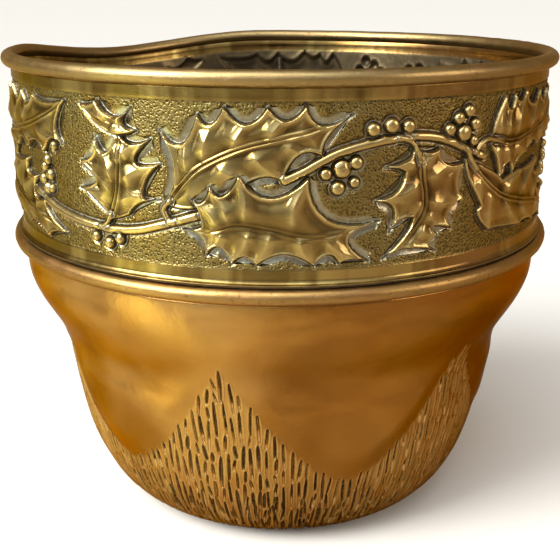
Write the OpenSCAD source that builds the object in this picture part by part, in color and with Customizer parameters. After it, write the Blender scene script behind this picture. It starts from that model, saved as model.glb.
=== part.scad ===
// Embossed brass planter pot.
// An embossed sheet band with a wired rim stands on a pressed, six-lobed bowl with a wired bead.
// Millimetres. The origin is the centre of the flat base, +Z is up, and -Y is the front.

/* [Body] */
// Outside diameter over the rolled rim
rim_d = 240; // [220:1:260]
// Height from the base to the top of the rolled rim
pot_h = 204.4; // [198:0.2:216]
// Height of the middle of the bead above the base
bead_h = 125.7; // [120:0.1:130]
// Diameter of the flat on which the pot stands
base_d = 117; // [100:1:130]

/* [Sheet and wire] */
// Thickness of the brass sheet
sheet_t = 0.8; // [0.6:0.1:1]
// Outside radius of the rolled rim and of the bead
roll_r = 3; // [2.6:0.1:3.4]
// Clearance between a wire and the sheet rolled round it
wire_gap = 0.05; // [0.02:0.01:0.1]

/* [Bowl] */
// Number of smooth lobes round the bowl
lobe_count = 6; // [4:1:9]
// How far the middle of a lobe swells out
lobe_swell = 1.6; // [0:0.1:3]
// Angle of the first lobe's middle, counted from +X
lobe_turn = -73; // [-90:1:90]

/* [Worn shape] */
// How far the back left of the rim is bent down
bend_drop = 6.5; // [0:0.5:10]
// Direction of the bend, counted from +X
bend_at = 138; // [0:1:359]
// Half of the bend's width round the pot
bend_half = 42; // [20:1:60]

/* [Hidden] */
ring_steps = 60;
curl_steps = 14;
$fn = 96;

// The rolled rim, the bead and the wall of the band, as radii and heights.
rim_r = rim_d / 2 - roll_r;
rim_z = pot_h - roll_r;
bead_r = rim_r + 0.4;
bead_z = bead_h;
wall_r = rim_r - 0.7 - sheet_t / 2;
curl_r = roll_r - sheet_t / 2;
wire_r = roll_r - sheet_t - wire_gap;

// The plain collar over the frieze, and the ground of the frieze a little behind it.
collar_z = rim_z - 7.9;
ground_z = bead_z + 10.3;
ground_step = 0.4;

// The cove that flares the foot of the band over the bead.
cove_r = 2.4;
cove_r0 = wall_r + cove_r;
cove_z0 = bead_z + roll_r + 0.45 + sheet_t / 2 + cove_r;

// The bowl's outline is two curves that meet at its shoulder.
shoulder_r = rim_r * 0.8487;
shoulder_z = bead_z * 0.599;
neck_r = bead_r - curl_r;

// Where a lobe's lower edge peaks between two lobes and where it hangs lowest.
lobe_top_z = bead_z * 0.74;
lobe_low_z = bead_z * 0.30;
crease_z = bead_z * 0.655;
lobe_bow = 1.7;

// Point of a cubic curve with the four control points p, at t from 0 to 1.
function cubic(p, t) =
    pow(1 - t, 3) * p[0] + 3 * t * pow(1 - t, 2) * p[1] + 3 * t * t * (1 - t) * p[2] + pow(t, 3) * p[3];

// Points on an arc round c, of radius r, from angle a to angle b.
function arc(c, r, a, b, steps) =
    [for (i = [0 : steps]) c + r * [cos(a + (b - a) * i / steps), sin(a + (b - a) * i / steps)]];

// Direction across a path at its point i.
function across(path, i) =
    let (
        a = path[max(i - 1, 0)],
        b = path[min(i + 1, len(path) - 1)],
        d = (b - a) / norm(b - a)
    )
    [-d[1], d[0]];

// Closed outline of a sheet of thickness t whose middle follows an open path.
function sheet_outline(path, t) =
    let (last = len(path) - 1)
    concat(
        [for (i = [0 : last]) path[i] + across(path, i) * t / 2],
        [for (i = [last : -1 : 0]) path[i] - across(path, i) * t / 2]
    );

function clamp(x) = max(0, min(1, x));
function ease(x) = let (c = clamp(x)) c * c * (3 - 2 * c);

// Side of a pillow: it rises steeply from its edge and levels off.
function pillow(x) = sqrt(1 - pow(1 - clamp(x), 2));

// Smallest angle between two directions.
function apart(a, b) = acos(cos(a - b));

// Share of the bend at a direction round the pot, and at a height.
function bend_round(a) = ease((bend_half - apart(a, bend_at)) / bend_half);
function bend_up(z) = pow(clamp((z - ground_z) / (rim_z - ground_z)), 1.6);

// Point of an outline placed at angle a, with the bend applied.
function bent(p, a) =
    let (w = bend_round(a) * bend_up(p[1]))
    let (r = p[0] + 0.12 * bend_drop * w)
    [r * cos(a), r * sin(a), p[1] - bend_drop * w];

// The band: cove at its foot, wall, recessed ground, collar, and the curl round the rim wire.
wall_meets = acos((wall_r - rim_r) / curl_r);
band_path = concat(
    arc([cove_r0, cove_z0], cove_r, 262, 180, 5),
    [[wall_r, ground_z - 0.6], [wall_r - ground_step, ground_z]],
    [for (i = [1 : 5]) [wall_r - ground_step, ground_z + (collar_z - ground_z) * i / 6]],
    [[wall_r - ground_step, collar_z - 0.6], [wall_r, collar_z]],
    arc([rim_r, rim_z], curl_r, 360 - wall_meets, -85, curl_steps)
);

// Lower edge of a lobe at angle a: it hangs in a bow between two sharp peaks.
function lobe_phase(a) = apart(a * lobe_count, lobe_turn * lobe_count) / 180;
function lobe_edge(a) =
    lobe_low_z + (lobe_top_z - lobe_low_z) * pow(lobe_phase(a), lobe_bow);

// How far the bowl swells out at angle a and height z: a pillow inside each lobe, creased above.
function swell(a, z) =
    lobe_swell * pillow((z - lobe_edge(a)) / 14) * pillow((crease_z - z) / 9)
    - 1.1 * exp(-pow((z - crease_z - 2) / 7, 2)) * (1 - pow(lobe_phase(a), 2));

// Middle of the bowl's sheet below the neck, at t from 0 at the neck to 1 at the base's edge.
function bowl_mid(t) =
    t < 0.5
    ? cubic([
        [neck_r, bead_z - 3.5],
        [neck_r + 3.1, bead_z - 22],
        [shoulder_r + 4.4, shoulder_z + 18],
        [shoulder_r, shoulder_z]
      ], t * 2)
    : cubic([
        [shoulder_r, shoulder_z],
        [shoulder_r - 5.1, shoulder_z * 0.47],
        [shoulder_r - 12, sheet_t / 2],
        [base_d / 2, sheet_t / 2]
      ], t * 2 - 1);

// The bowl's path at angle a, from the end of its curl, over the bead and down to the flat base.
wall_steps = 18;
floor_r = 12;
function bowl_path(a) = concat(
    arc([bead_r, bead_z], curl_r, -120, 180, curl_steps),
    [
        for (i = [0 : wall_steps])
        let (p = bowl_mid(i / wall_steps))
        p + [swell(a, p[1]), 0]
    ],
    [[floor_r, sheet_t / 2]]
);

// Triangles between neighbouring rings of m points each, leaving out the step after point gap.
function skin(m, gap = -1) = [
    for (i = [0 : ring_steps - 1])
    for (j = [0 : m - 1])
    if (j != gap)
    let (
        k = (i + 1) % ring_steps,
        p = i * m + j,
        q = i * m + (j + 1) % m,
        s = k * m + j,
        t = k * m + (j + 1) % m
    )
    each [[p, q, t], [p, t, s]]
];

// Ring-shaped solid with one closed outline, bent with the rim.
module bent_ring(outline) {
    rings = [for (i = [0 : ring_steps - 1]) [for (p = outline) bent(p, i * 360 / ring_steps)]];
    polyhedron([for (ring = rings) each ring], skin(len(outline)), convexity = 8);
}

// Embossed sheet with its upper edge rolled outwards round the rim wire.
module frieze_band() {
    color("darkkhaki")
        bent_ring(sheet_outline(band_path, sheet_t));
}

// Iron wire inside the rolled rim, bent together with it.
module rim_wire() {
    color("dimgray")
        bent_ring([for (i = [9 : -1 : 0]) [rim_r, rim_z] + wire_r * [cos(i * 36), sin(i * 36)]]);
}

// Solder run up the inside of the band's lapped seam, at the back.
module seam_solder() {
    run_r = 1.1;
    run_h = collar_z - ground_z - 6;
    inside_r = wall_r - ground_step - sheet_t / 2 - 0.05;
    color("silver")
        translate([0, inside_r, ground_z + 2])
            difference() {
                cylinder(r = run_r, h = run_h);
                translate([-2 * run_r, 0, -1])
                    cube([4 * run_r, 2 * run_r, run_h + 2]);
            }
}

// Pressed lower body in one sheet: wired bead, waist, lobes and flat base.
module bowl() {
    rings = [
        for (i = [0 : ring_steps - 1])
        let (a = i * 360 / ring_steps)
        [for (p = sheet_outline(bowl_path(a), sheet_t)) [p[0] * cos(a), p[0] * sin(a), p[1]]]
    ];
    m = len(rings[0]);
    turn = m / 2;
    pole = ring_steps * m;
    points = concat([for (ring = rings) each ring], [[0, 0, 0], [0, 0, sheet_t]]);
    // Each ring's outline turns back near the middle of the floor, where two fans close it.
    fans = [
        for (i = [0 : ring_steps - 1])
        let (k = (i + 1) % ring_steps)
        each [
            [i * m + turn - 1, pole, k * m + turn - 1],
            [i * m + turn, k * m + turn, pole + 1]
        ]
    ];
    color("goldenrod")
        polyhedron(points, concat(skin(m, turn - 1), fans), convexity = 8);
}

// Iron wire inside the bead.
module bead_wire() {
    color("dimgray")
        rotate_extrude()
            translate([bead_r, bead_z])
                circle(r = wire_r);
}

// Solder ring that fills the corner between the foot of the band and the top of the bead.
module joint_solder() {
    fill_w = 2.6;
    fill_h = 3.2;
    color("silver")
        rotate_extrude()
            difference() {
                translate([wall_r - sheet_t / 2 - 1.2, bead_z + roll_r - 1])
                    square([fill_w, fill_h]);
                translate([bead_r, bead_z])
                    circle(r = roll_r + 0.02);
                translate([wall_r - sheet_t / 2 - 0.02, bead_z + roll_r + 0.4])
                    square([fill_w, fill_h]);
            }
}

frieze_band();
rim_wire();
seam_solder();
bowl();
bead_wire();
joint_solder();
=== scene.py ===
# %% [markdown]
# # A brass planter pot
#
# The real pot is two pieces of formed sheet brass. The upper one is a band, embossed from the inside
# with holly leaves and berries and rolled into a ring. The lower one is a pressed bowl with six smooth
# lobes and rows of chased strokes. Both sheets have their top edge rolled round an iron wire, which
# makes the thick rim and the bead at the waist.
#
# The CAD model holds every size. This lesson keeps its frame and makes the visible surfaces again
# with the embossing, the chasing and the wear of an old pot.

# %% Load the frame
import math

import bpy
import numpy as np
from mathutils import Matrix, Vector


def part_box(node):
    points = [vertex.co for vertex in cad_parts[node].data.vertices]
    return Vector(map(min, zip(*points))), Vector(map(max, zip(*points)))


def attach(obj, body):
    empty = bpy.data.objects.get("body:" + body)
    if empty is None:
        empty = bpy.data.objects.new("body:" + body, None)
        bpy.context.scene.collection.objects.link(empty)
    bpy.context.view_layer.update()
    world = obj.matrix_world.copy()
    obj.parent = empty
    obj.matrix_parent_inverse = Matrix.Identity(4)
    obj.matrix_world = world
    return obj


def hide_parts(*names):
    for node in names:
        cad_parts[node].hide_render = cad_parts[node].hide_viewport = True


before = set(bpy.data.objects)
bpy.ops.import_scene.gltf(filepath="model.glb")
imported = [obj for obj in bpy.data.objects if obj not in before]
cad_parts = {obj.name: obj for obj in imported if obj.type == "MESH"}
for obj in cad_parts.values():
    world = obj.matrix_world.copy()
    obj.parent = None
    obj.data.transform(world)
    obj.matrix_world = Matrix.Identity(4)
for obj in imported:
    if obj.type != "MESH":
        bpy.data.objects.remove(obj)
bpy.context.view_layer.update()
print("CAD nodes:", sorted(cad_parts))

# %% [markdown]
# ## Sizes
#
# The shape is worked out in millimetres, because a metalworker would think in them, and every mesh is
# turned into metres when it is made. The main radii and heights are read from the CAD boxes: the rim's
# wire centre sits one roll radius inside the band's box, and the bead's sits one inside the bowl's.

# %% Measure the CAD model
MM = 0.001
SHEET = 0.8          # thickness of both sheets
ROLL = 3.0           # outside radius of a rolled edge
CURL = ROLL - SHEET / 2
POT_HEIGHT = 204.4
WALL_INSET = 1.1     # the band's wall stands this far inside the rim's wire
GROUND_STEP = 0.4    # the embossed ground is sunk by this much
GROUND_START = 10.3  # above the bead's centre
COLLAR_START = 7.9   # below the rim's centre
BASE_R = 58.5

band_box = [np.array(corner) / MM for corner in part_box("frieze_band")]
bowl_box = [np.array(corner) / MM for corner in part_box("bowl")]
rim_r = band_box[1][0] - ROLL
rim_z = bowl_box[0][2] + POT_HEIGHT - ROLL
bead_r = bowl_box[1][0] - ROLL
bead_z = bowl_box[1][2] - ROLL
wall_r = rim_r - WALL_INSET
ground_z = bead_z + GROUND_START
collar_z = rim_z - COLLAR_START
print(f"rim centre {rim_r:.1f} at {rim_z:.1f}, bead centre {bead_r:.1f} at {bead_z:.1f}")


# %% [markdown]
# ## Small shape helpers
#
# Almost every curve here is built from four ideas: an eased step, the round shoulder of a pillow, a
# bell, and soft random unevenness. Keeping them as four tiny functions makes the shapes easy to read.

# %% Helpers for shapes
def ease(x):
    """0 below 0, 1 above 1, and a smooth S between."""
    x = np.clip(x, 0, 1)
    return x * x * (3 - 2 * x)


def pillow(x):
    """A quarter of a circle: it rises steeply from 0 and is level at 1."""
    return np.sqrt(1 - (1 - np.clip(x, 0, 1)) ** 2)


def bell(x, width):
    """1 in the middle, falling away smoothly to both sides over the width."""
    return np.exp(-((x / width) ** 2))


def uneven(turn, rise, across, up, seed):
    """Smooth random values from -1 to 1: a lattice with 'across' cells round the pot, which joins up
    with itself, and 'up' cells over the height, eased between its corners."""
    lattice = np.random.default_rng(seed).uniform(-1, 1, (across, up + 2))
    x = np.mod(turn, 1.0) * across
    y = np.clip(rise, 0, 1) * up
    i = np.floor(x).astype(int)
    j = np.floor(y).astype(int)
    tx = ease(x - i)
    ty = ease(y - j)
    i, k = i % across, (i + 1) % across
    low = lattice[i, j] * (1 - tx) + lattice[k, j] * tx
    high = lattice[i, j + 1] * (1 - tx) + lattice[k, j + 1] * tx
    return low * (1 - ty) + high * ty


def arc(centre, radius, first, last, steps):
    """Points on an arc round a centre, from one angle to another, in degrees."""
    a = np.radians(np.linspace(first, last, steps + 1))
    return np.stack([centre[0] + radius * np.cos(a), centre[1] + radius * np.sin(a)], axis=1)


def across(path):
    """Unit vectors square to a path, at each of its points."""
    d = np.gradient(path, axis=0)
    d /= np.linalg.norm(d, axis=1, keepdims=True)
    return np.stack([-d[:, 1], d[:, 0]], axis=1)


def sheet_outline(path, thickness):
    """Closed outline of a sheet whose middle follows the path: out along one side, back on the other.
    The thickness is one number, or one for each point."""
    side = across(path) * np.reshape(thickness, (-1, 1)) / 2
    return np.vstack([path + side, (path - side)[::-1]])


print(f"half way: ease {ease(0.5):.2f}, pillow {pillow(0.5):.2f}, bell {bell(0.5, 1):.2f}")


# %% [markdown]
# ## The bend
#
# The rim of this pot has been pushed down at the back left. The wire, the roll and the upper wall all
# follow the same bend, so one function moves every point: the drop is strongest in the middle of the
# bend and at the rim, and it fades out round the pot and down the wall.

# %% Bend the rim
BEND_DROP = 6.5   # how far down the rim is pushed, in mm
BEND_AT = 138.0   # its middle, in degrees
BEND_HALF = 42.0  # half of its width, in degrees
BEND_FADE = 1.6   # how fast it fades down the wall
BEND_OUT = 0.12   # share of the drop that goes outwards


def bend(r, z, theta):
    """Moves a point at radius r, height z and angle theta (degrees) down and slightly outwards."""
    apart = np.abs(np.mod(theta - BEND_AT + 180, 360) - 180)
    round_pot = ease((BEND_HALF - apart) / BEND_HALF)
    up_wall = np.clip((z - ground_z) / (rim_z - ground_z), 0, 1) ** BEND_FADE
    share = round_pot * up_wall
    return r + BEND_OUT * BEND_DROP * share, z - BEND_DROP * share


def place(r, z, theta):
    """Turns radius, height and angle into points, in metres, with the bend applied."""
    r, z = bend(r, z, theta)
    a = np.radians(theta)
    return np.stack([r * np.cos(a), r * np.sin(a), z + 0 * a], axis=-1) * MM


print(f"the rim is pushed down {BEND_DROP} mm at {BEND_AT:.0f} degrees")


# %% [markdown]
# ## From a grid of points to a mesh
#
# Every new piece is a grid: rows run along an outline of the sheet, columns run round the pot. The
# outline always closes on itself, so a full ring is watertight. Where the pot is cut into several
# panels, to keep each mesh light, the two ends are closed with a cap. The panels share their edge
# points and carry the normals of the whole ring, so no joint shows between them.

# %% Helpers for meshes
def surface_normals(points, ring):
    """Normals of a grid whose rows close on themselves: the cross product of its two directions."""
    down = np.roll(points, -1, axis=0) - np.roll(points, 1, axis=0)
    if ring:
        along = np.roll(points, -1, axis=1) - np.roll(points, 1, axis=1)
    else:
        along = np.gradient(points, axis=1)
    n = np.cross(along, down)
    return n / np.maximum(np.linalg.norm(n, axis=2, keepdims=True), 1e-12)


def shown(name, data):
    """A new object in the scene, at the origin and unturned."""
    piece = bpy.data.objects.new(name, data)
    bpy.context.scene.collection.objects.link(piece)
    return piece


def grid_piece(name, points, normals, ring, values=None, inner_rows=None):
    """A mesh from a grid of points (rows, columns, 3). Rows close on themselves; columns close when
    ring is true, and otherwise get a cap at each end. values are named numbers kept at each point,
    and rows listed in inner_rows take the second material."""
    rows, cols = points.shape[:2]
    index = np.arange(rows * cols).reshape(rows, cols)
    here, below = index, np.roll(index, -1, axis=0)
    if ring:
        quads = np.stack([here, np.roll(here, -1, 1), np.roll(below, -1, 1), below], axis=2)
    else:
        quads = np.stack([here[:, :-1], here[:, 1:], below[:, 1:], below[:, :-1]], axis=2)
    per_row = quads.shape[1]
    quads = quads.reshape(-1, 4)
    loops = [quads.ravel()]
    sizes = [np.full(len(quads), 4)]
    if not ring:
        loops += [index[:, 0], index[::-1, -1]]
        sizes += [np.array([rows, rows])]
    loops, sizes = np.concatenate(loops), np.concatenate(sizes)

    mesh = bpy.data.meshes.new(name)
    mesh.vertices.add(rows * cols)
    mesh.vertices.foreach_set("co", points.reshape(-1))
    mesh.loops.add(len(loops))
    mesh.loops.foreach_set("vertex_index", loops)
    mesh.polygons.add(len(sizes))
    mesh.polygons.foreach_set("loop_start", np.concatenate([[0], np.cumsum(sizes)[:-1]]))
    mesh.polygons.foreach_set("loop_total", sizes)
    slots = np.zeros(len(sizes), dtype=int)
    if inner_rows is not None:
        slots[:len(quads)] = np.repeat(inner_rows.astype(int), per_row)
    mesh.polygons.foreach_set("material_index", slots)
    mesh.update(calc_edges=True)
    mesh.shade_smooth()
    for key, numbers in (values or {}).items():
        layer = mesh.attributes.new(key, "FLOAT", "POINT")
        layer.data.foreach_set("value", numbers.reshape(-1).astype(np.float32))
    mesh.normals_split_custom_set_from_vertices(normals.reshape(-1, 3))
    return shown(name, mesh)


def cut_in_panels(name, count, points, normals, values, inner_rows):
    """Cuts a full ring of points into an even number of panels that share their edge columns."""
    total = points.shape[1]
    each = total // count
    panels = []
    for k in range(count):
        cols = np.arange(k * each, (k + 1) * each + 1) % total
        here = {key: numbers[:, cols] for key, numbers in values.items()}
        panel = grid_piece(f"{name}_{k + 1}", points[:, cols], normals[:, cols], False, here, inner_rows)
        panels.append(panel)
    return panels


# %% [markdown]
# ## The leaf scroll
#
# The frieze was pressed from the inside with a die, and the same scroll repeats three times round the
# pot. Holly leaves are described by the tips of their spines and the lowest point of the bay between
# each pair of spines. A curve through each bay joins the tips, which gives the sharp points and round
# hollows of holly with very few numbers. Places are degrees round the pot from the front and
# millimetres above the bead.

# %% Outlines of the leaves
REPEAT = 120.0
MM_PER_DEGREE = math.radians(wall_r)

UPPER_LEAF = {
    "edge": [(-20.4, 31.5), (-18.2, 44), (-21, 58), (-16.9, 53.2), (-13.9, 63.8), (-11.7, 60.2),
             (-9.3, 66.3), (-5.6, 60.7), (-2, 66.4), (1.2, 62), (4.4, 67.2), (6.9, 60.2),
             (12.3, 63.8), (8.1, 56.5), (7.2, 49.8), (3.2, 50.4), (0.5, 41.2), (-3.5, 42.5),
             (-8, 36), (-14, 31)],
    "rib": [(-19.6, 28), (-19.2, 33.5), (-15, 43.2), (-11, 48.3), (-6, 52.6), (0, 55.7), (6, 58.6),
            (12, 63.4)],
    "veins": [((-18.5, 36), (-20.6, 57)), ((-15.8, 41.5), (-14, 63)), ((-13, 45.5), (-9.4, 65.5)),
              ((-8.5, 50.2), (-2.2, 65.5)), ((-2.5, 54), (4.2, 66)), ((-11, 47), (-5.5, 42.5)),
              ((-5, 52.5), (0.4, 42.5)), ((0, 55), (6.8, 50.5))],
}
LEFT_LEAF = {
    "edge": [(-32, 23.6), (-34.6, 30.5), (-39.4, 33.8), (-34.6, 38), (-38.9, 44), (-35.3, 47),
             (-34.9, 54), (-32.3, 48), (-29.4, 56.4), (-26.6, 52.4), (-22.6, 54.4), (-25.8, 46),
             (-20.9, 45.8), (-23.8, 39.5), (-24.4, 33.6), (-23.2, 32.8), (-21.2, 33.4), (-25.3, 31),
             (-27.4, 26.8), (-29.6, 25)],
    "rib": [(-32.6, 22), (-31.2, 27), (-29.8, 33), (-29.2, 40), (-28.9, 46), (-28.6, 52), (-28.8, 56)],
    "veins": [((-31.4, 29), (-39, 33.8)), ((-30.6, 33), (-38.5, 43.8)), ((-30.4, 36), (-34.9, 53)),
              ((-29.4, 46), (-22.9, 53.8)), ((-29.6, 37), (-21.4, 45.4)), ((-30.6, 30), (-21.8, 33.2)),
              ((-29.6, 44), (-30.6, 52))],
}
LEFT_FLAP = {
    "edge": [(-38.2, 64.8), (-31.7, 55.7), (-25.4, 56.8), (-28.1, 59.4), (-26.3, 65), (-30, 61),
             (-33.6, 66.6), (-35.6, 64.8)],
    "rib": [(-38.2, 64.8), (-34, 60), (-30.6, 57.6), (-26, 57)],
    "veins": [((-32.6, 59), (-33.6, 66)), ((-29.4, 57.4), (-26.6, 64.4)), ((-31, 58), (-26, 57))],
}
RIGHT_LEAF = {
    "edge": [(23.4, 51.8), (22.6, 47.6), (18.2, 45), (20.4, 44.3), (22, 42.8), (20.6, 36.6),
             (16.6, 33.4), (20, 30), (19.4, 21.8), (21.2, 26), (23.8, 26.2), (22.3, 19.6),
             (18.3, 12.2), (22.8, 15.2), (29.2, 12.8), (27.3, 16), (29.4, 18.8), (28, 22.2),
             (32.6, 20.4), (31.2, 26.2), (34.7, 31.2), (33.3, 37.5), (34.6, 44.4), (30.2, 44.8),
             (28.8, 50.6), (26, 49.4)],
    "rib": [(22.4, 54), (24.3, 50), (25, 45), (25.3, 40), (25.8, 35), (25.7, 29.5), (24.6, 24),
            (21.8, 17.5), (18.8, 12.8)],
    "veins": [((24.8, 45), (18.8, 45.2)), ((25.3, 40), (17.2, 33.6)), ((25.8, 33), (19.6, 22.8)),
              ((25, 43), (28.6, 50)), ((25.3, 39), (34.3, 43.8)), ((25.8, 33), (34.3, 31.2)),
              ((25.6, 29), (32.2, 20.8)), ((24.4, 23), (29.2, 19)), ((22.4, 18.5), (28.6, 13.2))],
}
FAR_LEAF = {
    "edge": [(41.6, 49.5), (42.6, 58), (45, 66.2), (47, 61), (48.6, 66), (50.8, 63.6), (53, 67.2),
             (56.6, 61.4), (60.6, 66.2), (63.4, 61.2), (66.4, 65.4), (71, 63.2), (77.6, 65.2),
             (74.4, 56), (76, 48.6), (72.6, 49.6), (69.4, 44), (66, 47.6), (61.5, 43.6), (58, 46.6),
             (54, 42.4), (51.6, 41.5), (49.2, 36), (47.6, 41), (44.6, 36.4), (43.6, 42)],
    "rib": [(39.4, 46.6), (42.5, 50.4), (47.7, 48.8), (53, 49.4), (59.5, 51.6), (66, 54.8),
            (72, 59.2), (77, 64.6)],
    "veins": [((43.6, 50), (45.2, 65.4)), ((46, 49.4), (48.6, 65)), ((49, 48.9), (53, 66.4)),
              ((55, 50), (60.4, 65.2)), ((60.5, 52), (66.2, 64.6)), ((66, 55), (75.6, 49.4)),
              ((60, 52), (69.2, 45)), ((54, 49.6), (61.2, 44.4)), ((49, 48.8), (54, 43.2)),
              ((46, 49.4), (49.2, 37.5)), ((43.6, 50), (44.8, 38))],
}
LOW_LEAF = {
    "edge": [(35, 45.6), (36, 38), (39.6, 26.5), (39, 23), (42, 16.6), (45.6, 16.4), (53.8, 14.2),
             (56.8, 15.2), (60.8, 13.2), (64.6, 14.6), (69.4, 10.8), (71.6, 13.4), (76, 14.6),
             (70.4, 19.6), (69.2, 25.4), (64.2, 25.4), (65.6, 33.6), (60.6, 33.6), (61.6, 39.6),
             (56.6, 37.4), (53.2, 37), (50.2, 37), (46, 34.6), (43, 38.6)],
    "rib": [(36.2, 46), (38, 40.4), (41.3, 34.4), (46, 28.8), (51, 25.6), (57, 23), (63, 20.8),
            (70, 17.4), (75.4, 14.8)],
    "veins": [((38.6, 38.6), (39.6, 27.5)), ((42, 33.4), (42.2, 17.8)), ((46, 29), (53.4, 15)),
              ((52, 25.4), (60.6, 14)), ((60, 22.2), (69, 11.6)), ((46, 29), (52.8, 36.2)),
              ((52, 25.4), (61, 38.6)), ((58, 23), (65, 32.8)), ((64, 20.4), (68.8, 25))],
}
MIDDLE_LEAF = {
    "edge": [(-15.2, 34.4), (-14, 30.2), (-13.6, 25.2), (-14.6, 23.9), (-17.2, 23.4), (-13.8, 21.6),
             (-12.8, 14.6), (-10.4, 17.8), (-8.2, 12), (-6.1, 14.6), (-4, 11.6), (0.8, 15.6),
             (5.8, 11.2), (8.2, 15.2), (10.2, 11.8), (12.4, 13.2), (15.6, 12), (11.8, 20.6),
             (17.4, 26.3), (8, 28), (4.8, 43), (-1.6, 35.6), (-6.9, 43.4), (-9.6, 36.2),
             (-11.9, 39.4), (-13.2, 33.8)],
    "rib": [(-16.6, 23.6), (-12, 23.2), (-7.4, 25.8), (-2, 24.6), (4, 22), (10, 22.6), (16.4, 26)],
    "veins": [((-8.5, 25), (-11.9, 38.6)), ((-6.2, 25.8), (-6.9, 42.4)), ((2, 23.2), (4.8, 42)),
              ((-10, 24), (-15, 33.8)), ((-9.6, 24.2), (-12.6, 15.6)), ((-5, 25.6), (-8.2, 13)),
              ((-1.6, 24.6), (-4, 12.6)), ((3, 22.6), (5.8, 12.2)), ((7, 22), (15, 12.8))],
}
print("spines on each leaf:", [len(leaf["edge"]) // 2 for leaf in (
    UPPER_LEAF, LEFT_LEAF, LEFT_FLAP, RIGHT_LEAF, FAR_LEAF, LOW_LEAF, MIDDLE_LEAF)])

# %% Stems and berries
STEMS = {
    "second": ([(0.8, 41.6), (4, 44.6), (7, 48), (10, 50.8), (14, 53), (18, 54.4), (22.7, 55.2),
                (27, 54.6), (31, 52.4), (35, 49), (39.6, 45.3)], 1.6),
    "main": ([(-58, 30.5), (-55, 28), (-50.5, 25.3), (-45, 22.6), (-38, 20.8), (-31.5, 20.2),
              (-26, 21.4), (-21, 24.2), (-14.2, 28.6)], 1.65),
    "loop": ([(-19.4, 33), (-20.5, 30), (-19.6, 26), (-18.6, 25.4)], 1.0),
}
STALKS = {
    "left": ([(-34.2, 20.6), (-32.6, 22.6), (-31.8, 25.5)], 0.9),
    "right": ([(20.6, 54.9), (23, 53.2), (24.3, 50), (24.9, 46)], 0.9),
    "hook": ([(37.2, 47.2), (38.6, 49.8), (40.6, 51.2), (43, 50.4), (45, 49.6)], 1.0),
    "low": ([(35.2, 48.4), (36.4, 45), (38, 41)], 1.0),
}
# A stem is its points and a radius; a berry is its place and a radius.
BERRIES = [
    (15.9, 58.3, 2.5), (19.2, 59.4, 2.7), (22.4, 58.8, 2.4),
    (31, 56.4, 2.3), (33, 60.1, 2.4), (35.4, 62.4, 2.4), (37.1, 57.4, 2.4), (34.3, 54.7, 3.2),
    (36.8, 51.5, 2.0),
    (10.5, 45.3, 3.4), (13, 47.2, 2.4), (7.7, 43.6, 2.2), (9.8, 38.6, 2.6), (12.7, 40.4, 2.0),
    (-35.7, 16.4, 2.1), (-32.5, 14.8, 2.3), (-30, 16.9, 2.1),
    (-49.7, 41.2, 2.2), (-50.8, 38.4, 2.0), (-48.8, 35.8, 2.3), (-51.8, 33.4, 2.2),
    (-50.2, 30.2, 2.2), (-48.4, 30.6, 1.8), (-46.8, 47.4, 1.9),
]
print(f"{len(STEMS)} stems, {len(STALKS)} stalks and {len(BERRIES)} berries in one repeat")


# %% [markdown]
# ## Distances to outlines
#
# A die-sunk relief is easiest to describe by distance: how far a point is from a leaf's edge, from its
# rib, or from a stem's middle. The height then follows from that distance alone, as it does when a
# craftsman walks a punch along a line.

# %% Helpers for outlines
def to_mm(points):
    """Degrees round the pot and height, turned into millimetres on the unrolled band."""
    return np.array(points, float) * [MM_PER_DEGREE, 1]


def scallops(points):
    """Tips and bays in turn: each tip joins the next along a curve that passes through the bay."""
    p = to_mm(points)
    tips, bays = p[0::2], p[1::2]
    following = np.roll(tips, -1, axis=0)
    pull = 2 * bays - 0.5 * (tips + following)
    t = np.linspace(0, 1, 9)[:-1][None, :, None]
    curve = (1 - t) ** 2 * tips[:, None] + 2 * t * (1 - t) * pull[:, None] + t * t * following[:, None]
    return curve.reshape(-1, 2)


def flowing(p, steps=10):
    """A smooth open curve through points, each stretch a cubic that matches its neighbours' slopes."""
    p = np.vstack([2 * p[0] - p[1], p, 2 * p[-1] - p[-2]])
    t = np.linspace(0, 1, steps, endpoint=False)[None, :, None]
    a, b, c, d = p[:-3, None], p[1:-2, None], p[2:-1, None], p[3:, None]
    curve = 0.5 * (2 * b + (c - a) * t + (2 * a - 5 * b + 4 * c - d) * t**2
                   + (3 * b - a - 3 * c + d) * t**3)
    return np.vstack([curve.reshape(-1, 2), p[-2]])


def distance(u, v, line):
    """How far each grid point is from a line of short straight steps, and how far along it is the
    nearest place, from 0 to 1."""
    steps = np.diff(line, axis=0)
    lengths = np.hypot(*steps.T)
    start = np.concatenate([[0], np.cumsum(lengths)])
    nearest = np.full(u.shape, np.inf)
    along = np.zeros(u.shape)
    for k, (p, d) in enumerate(zip(line[:-1], steps)):
        t = ((u - p[0]) * d[0] + (v - p[1]) * d[1]) / max(d @ d, 1e-9)
        t = np.clip(t, 0, 1)
        far = np.hypot(u - p[0] - t * d[0], v - p[1] - t * d[1])
        closer = far < nearest
        nearest = np.where(closer, far, nearest)
        along = np.where(closer, (start[k] + t * lengths[k]) / start[-1], along)
    return nearest, along


def within(u, v, loop):
    """True inside a closed outline: a level line from the point crosses it an odd number of times."""
    odd = np.zeros(u.shape, bool)
    for (x0, y0), (x1, y1) in zip(loop, np.roll(loop, -1, axis=0)):
        if y0 != y1:
            crosses = (y0 > v) != (y1 > v)
            odd ^= crosses & (u < (x1 - x0) * (v - y0) / (y1 - y0) + x0)
    return odd


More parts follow.
